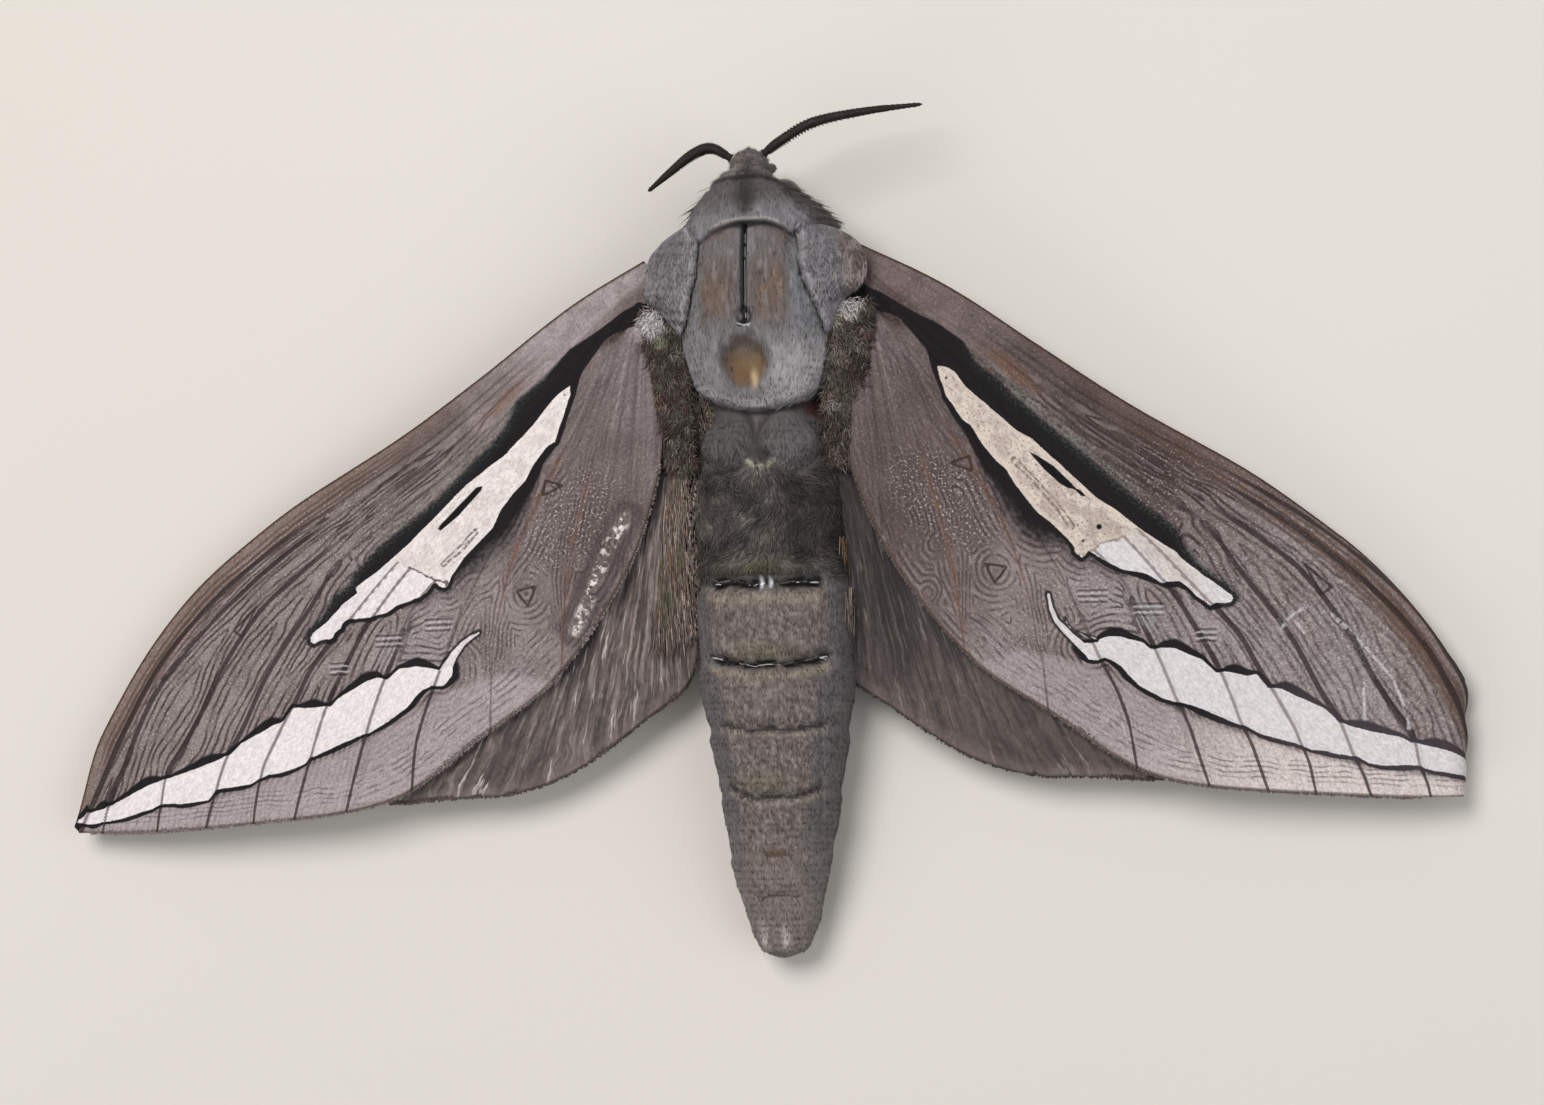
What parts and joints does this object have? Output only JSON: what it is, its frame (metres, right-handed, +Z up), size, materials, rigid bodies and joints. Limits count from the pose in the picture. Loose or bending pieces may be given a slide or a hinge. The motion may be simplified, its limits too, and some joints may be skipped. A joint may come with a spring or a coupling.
{
  "type": "rain moth",
  "caption": "Large grey ghost moth lying flat with its wings spread, belly and feet on the floor, as a still life-size museum model.",
  "frame": {"origin": "middle of the bounding box at floor level", "axes": "+X towards the moth's right side, +Y towards its head, +Z up from the floor"},
  "size_m": [0.1004, 0.06, 0.0109],
  "materials": {
    "thorax": "short smooth blue-grey scales lying towards the rear",
    "abdomen": "brown-grey scales and fine hair, darker and fuzzier near the thorax",
    "head": "dark brown tufted hair",
    "forewing": "matt grey-brown scales with black and silver-white markings",
    "hindwing": "dark brown scales with long hair near the root",
    "eye": "glossy dark compound eye",
    "antenna": "dark brown horn with fine side teeth",
    "leg": "brown hairy legs with dark claws"
  },
  "bodies": {
    "root": {"head": "head", "collar": "thorax", "thorax": "thorax", "abdomen": "abdomen", "eye_left": "eye", "palp_left": "head", "antenna_left": "antenna", "tegula_left": "thorax", "forewing_left": "forewing", "hindwing_left": "hindwing", "leg_front_left": "leg", "leg_mid_left": "leg", "leg_hind_left": "leg", "eye_right": "eye", "palp_right": "head", "antenna_right": "antenna", "tegula_right": "thorax", "forewing_right": "forewing", "hindwing_right": "hindwing", "leg_front_right": "leg", "leg_mid_right": "leg", "leg_hind_right": "leg"}
  },
  "joints": []
}
